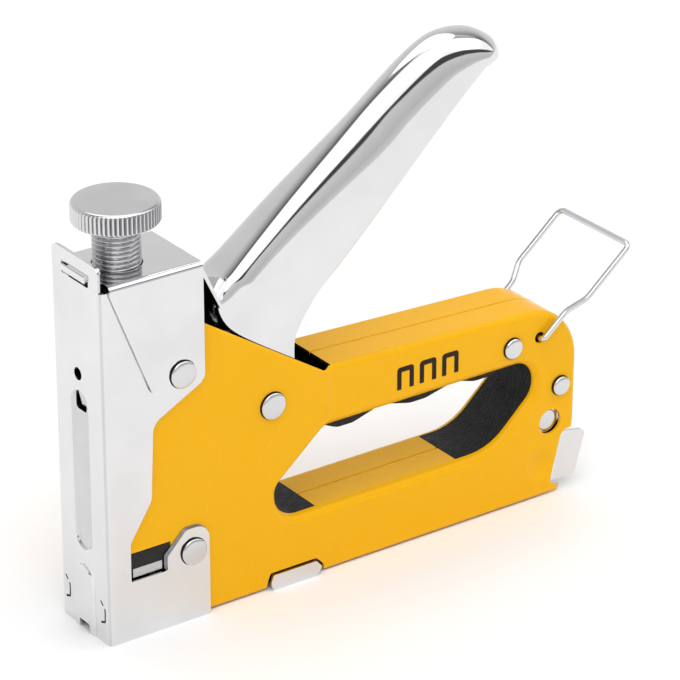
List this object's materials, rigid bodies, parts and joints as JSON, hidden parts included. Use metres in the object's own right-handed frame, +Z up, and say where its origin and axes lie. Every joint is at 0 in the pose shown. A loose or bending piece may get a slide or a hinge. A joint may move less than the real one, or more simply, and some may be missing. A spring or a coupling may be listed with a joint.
{
  "type": "hand staple gun",
  "caption": "Squeeze-lever hand staple gun with a chromed nose, pressed yellow body, tension knob, rear-loading drawer and a wire bail that locks the lever.",
  "frame": {"origin": "centre of the overall footprint, on the ground that the nose and the channel lugs stand on", "axes": "+X from the nose towards the grip's rear end, +Y across to the right-hand side of the tool, +Z up; the nose shoots staples towards -Z"},
  "size_m": [0.1948, 0.0368, 0.1632],
  "materials": {
    "yellow_enamel": "gloss enamel on pressed steel",
    "chrome_plate": "bright mirror chrome",
    "rivet_steel": "bright nickel plate",
    "plain_steel": "zinc-plated, satin",
    "hardened_steel": "ground and oiled",
    "spring_steel": "drawn wire, oiled",
    "black_rubber": "matte with a fine leather grain",
    "black_plastic": "moulded, fine matte"
  },
  "bodies": {
    "root": {"left_body_shell": "yellow_enamel", "right_body_shell": "yellow_enamel", "front_housing": "chrome_plate", "top_cap": "chrome_plate", "grip_liner": "black_rubber", "cap_rivet": "rivet_steel", "nose_rivet": "rivet_steel", "lever_pivot_rivet": "rivet_steel", "rear_top_rivet": "rivet_steel", "rear_mid_rivet": "rivet_steel", "cap_sleeve": "plain_steel", "nose_sleeve": "plain_steel", "rear_top_sleeve": "plain_steel", "rear_mid_sleeve": "plain_steel", "lever_return_spring": "spring_steel", "guide_block": "black_plastic", "magazine_lock_plate": "plain_steel", "plunger_bumper": "black_rubber", "nose_guide_plate": "plain_steel", "adjuster_nut": "plain_steel", "magazine_channel": "chrome_plate", "main_spring": "spring_steel"},
    "lever": {"lever_handle": "chrome_plate", "striker_arm": "hardened_steel", "arm_pin": "plain_steel"},
    "striker": {"plunger": "hardened_steel", "driver_blade": "hardened_steel"},
    "seat": {"spring_seat": "plain_steel"},
    "knob": {"adjusting_knob": "chrome_plate"},
    "bail": {"wire_bail": "rivet_steel"},
    "drawer": {"staple_rail": "chrome_plate", "rail_end_block": "black_plastic", "follower_guide_rod": "plain_steel", "follower_spring": "spring_steel"},
    "follower": {"staple_follower": "plain_steel"},
    "left_catch": {"left_catch_arm": "chrome_plate"},
    "right_catch": {"right_catch_arm": "chrome_plate"}
  },
  "joints": [
    {"name": "lever_hinge", "type": "hinge", "parent": "root", "child": "lever", "pos_m": [-0.0366, 0, 0.0628], "axis": [0, 1, 0], "range_deg": [0, 36], "stiffness_Nm_per_rad": 0.25, "springref_deg": -28.65},
    {"name": "striker_slide", "type": "slide", "parent": "root", "child": "striker", "axis": [0, 0, 1], "range_m": [0, 0.0197], "deforming": ["main_spring"]},
    {"name": "seat_slide", "type": "slide", "parent": "root", "child": "seat", "axis": [0, 0, 1], "range_m": [-0.007, 0.003]},
    {"name": "knob_turn", "type": "hinge", "parent": "seat", "child": "knob", "pos_m": [-0.082, 0, 0.13], "axis": [0, 0, 1], "range_deg": [-1262, 542]},
    {"name": "bail_hinge", "type": "hinge", "parent": "root", "child": "bail", "pos_m": [0.0656, 0, 0.0571], "axis": [0, 1, 0], "range_deg": [-95, 60]},
    {"name": "drawer_slide", "type": "slide", "parent": "root", "child": "drawer", "axis": [1, 0, 0], "range_m": [0, 0.115]},
    {"name": "follower_slide", "type": "slide", "parent": "drawer", "child": "follower", "axis": [1, 0, 0], "range_m": [0, 0.105], "stiffness_N_per_m": 20, "springref_m": -0.06},
    {"name": "left_catch_flex", "type": "hinge", "parent": "drawer", "child": "left_catch", "pos_m": [0.0536, -0.01045, 0.0137], "axis": [0, 0, 1], "range_deg": [0, 6], "stiffness_Nm_per_rad": 0.3},
    {"name": "right_catch_flex", "type": "hinge", "parent": "drawer", "child": "right_catch", "pos_m": [0.0536, 0.01045, 0.0137], "axis": [0, 0, 1], "range_deg": [-6, 0], "stiffness_Nm_per_rad": 0.3}
  ],
  "couplings": [
    {"joint": "striker_slide", "follows": "lever_hinge", "m_per_rad": 0.031035},
    {"joint": "knob_turn", "follows": "seat_slide", "rad_per_m": 3141.6}
  ]
}
